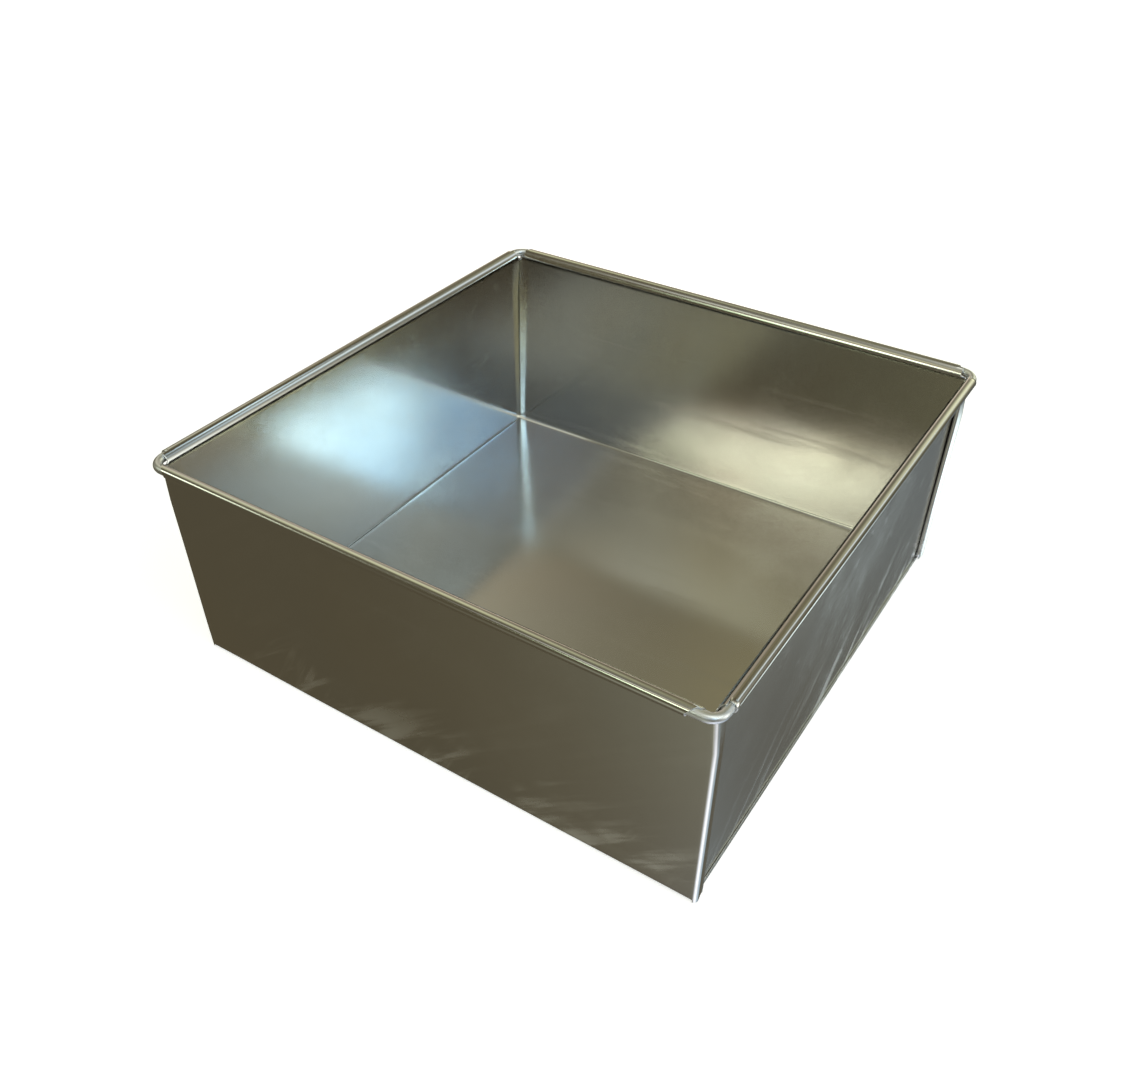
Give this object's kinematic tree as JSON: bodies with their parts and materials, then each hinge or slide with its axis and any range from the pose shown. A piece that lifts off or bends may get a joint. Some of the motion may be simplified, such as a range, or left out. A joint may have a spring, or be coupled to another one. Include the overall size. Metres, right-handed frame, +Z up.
{
  "type": "square cake tin",
  "caption": "Deep square cake tin of bright tinplate with a fixed base, lock-seamed corners and a rim rolled over a steel wire that shows at each corner",
  "frame": {"origin": "centre of the underside, on the surface the tin stands on", "axes": "+X towards the right end panel, +Y towards the back wall, +Z up out of the open top"},
  "size_m": [0.1878, 0.1894, 0.0755],
  "materials": {
    "tinplate": "bright tinplate, lightly scuffed",
    "end_tinplate": "bright tinplate, lightly scuffed",
    "tinned_wire": "smooth tinned wire"
  },
  "bodies": {
    "root": {"body_sheet": "tinplate", "right_end_panel": "end_tinplate", "left_end_panel": "end_tinplate", "rim_wire": "tinned_wire"}
  },
  "joints": []
}
